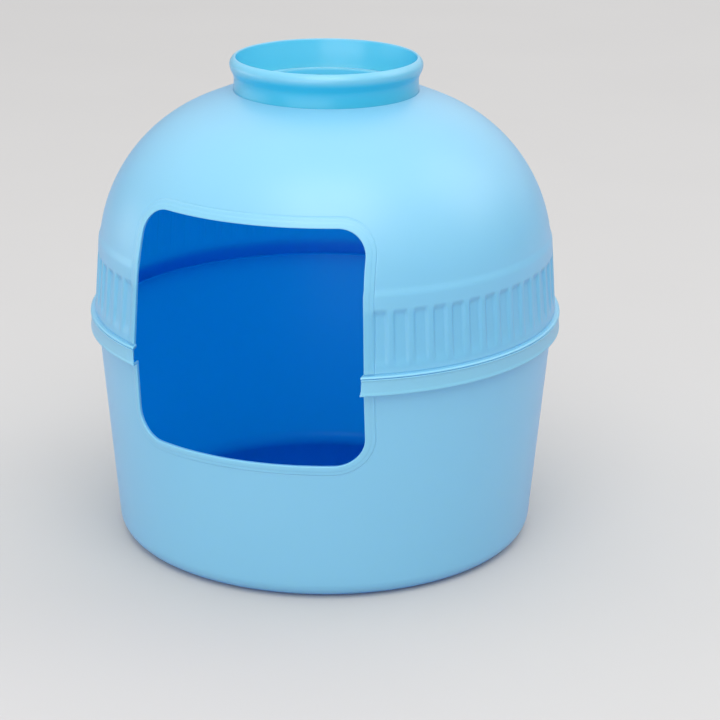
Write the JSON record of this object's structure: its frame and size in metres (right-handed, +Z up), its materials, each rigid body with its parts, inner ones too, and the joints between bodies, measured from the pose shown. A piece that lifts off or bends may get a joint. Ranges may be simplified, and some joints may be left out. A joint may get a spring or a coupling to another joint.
{
  "type": "hooded cat litter box",
  "caption": "Round planter-style cat litter box: a flared tub under a domed, fluted hood with a wide front entrance, a bead-rimmed collar and a vented plant cup over a carbon filter.",
  "frame": {"origin": "on the floor, where the axis of the round tub meets its flat underside", "axes": "+Z up along the tub's axis, entrance facing -Y, +X to the right of someone who looks into the entrance"},
  "size_m": [0.4828, 0.4691, 0.4948],
  "materials": {
    "shell": "satin polypropylene",
    "filter": "carbon foam"
  },
  "bodies": {
    "base": {"base_pan": "shell"},
    "hood": {"hood": "shell"},
    "collar": {"plant_collar": "shell"},
    "cup": {"plant_cup": "shell"},
    "tray": {"filter_tray": "shell", "carbon_filter": "filter"}
  },
  "joints": [
    {"name": "hood_lift", "type": "slide", "parent": "base", "child": "hood", "axis": [0, 0, 1], "range_m": [0, 0.3]},
    {"name": "collar_lift", "type": "slide", "parent": "hood", "child": "collar", "axis": [0, 0, 1], "range_m": [0, 0.11]},
    {"name": "cup_lift", "type": "slide", "parent": "collar", "child": "cup", "axis": [0, 0, 1], "range_m": [0, 0.13]},
    {"name": "tray_pull", "type": "slide", "parent": "cup", "child": "tray", "axis": [0, 0, -1], "range_m": [0, 0.05]}
  ]
}
